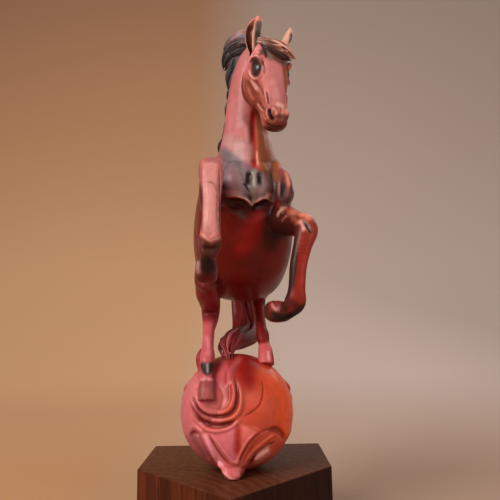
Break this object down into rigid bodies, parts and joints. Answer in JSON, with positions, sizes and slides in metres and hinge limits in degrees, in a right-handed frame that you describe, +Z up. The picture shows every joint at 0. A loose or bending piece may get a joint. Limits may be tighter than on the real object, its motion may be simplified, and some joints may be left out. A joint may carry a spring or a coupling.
{
  "type": "horse statue",
  "caption": "Cast figure of a rearing horse that stands with its hind hooves on a wave-carved ball, bolted to a five-sided wooden plinth.",
  "frame": {"origin": "middle of the felt's underside, under the plinth", "axes": "+Z up, the horse faces -Y and its left is +X"},
  "size_m": [0.168, 0.2325, 0.4429],
  "materials": {
    "pink_lacquer": "cast resin with rose pink satin lacquer",
    "red_lacquer": "cast resin with orange-red satin lacquer",
    "deep_red_lacquer": "cast resin with deep red glossy lacquer",
    "black_patina": "cast resin with a black wash that is rubbed back",
    "walnut": "dark walnut with satin varnish",
    "felt": "felt",
    "steel": "plain",
    "brass": "turned"
  },
  "bodies": {
    "root": {"plinth": "walnut", "base_felt": "felt", "fixing_bolt": "steel", "bolt_washer": "steel", "threaded_bush": "brass", "locating_pin": "steel", "ball": "red_lacquer", "hind_leg_right": "pink_lacquer", "hind_leg_left": "red_lacquer", "trunk": "deep_red_lacquer", "neck": "pink_lacquer", "head": "pink_lacquer", "mane": "black_patina", "tail": "pink_lacquer", "foreleg_right": "pink_lacquer", "foreleg_left": "red_lacquer", "right_hoof_pin": "steel", "left_hoof_pin": "steel", "neck_dowel": "steel", "head_dowel": "steel", "right_fore_dowel": "steel", "left_fore_dowel": "steel", "right_hind_dowel": "steel", "left_hind_dowel": "steel", "tail_dowel": "steel"}
  },
  "joints": []
}
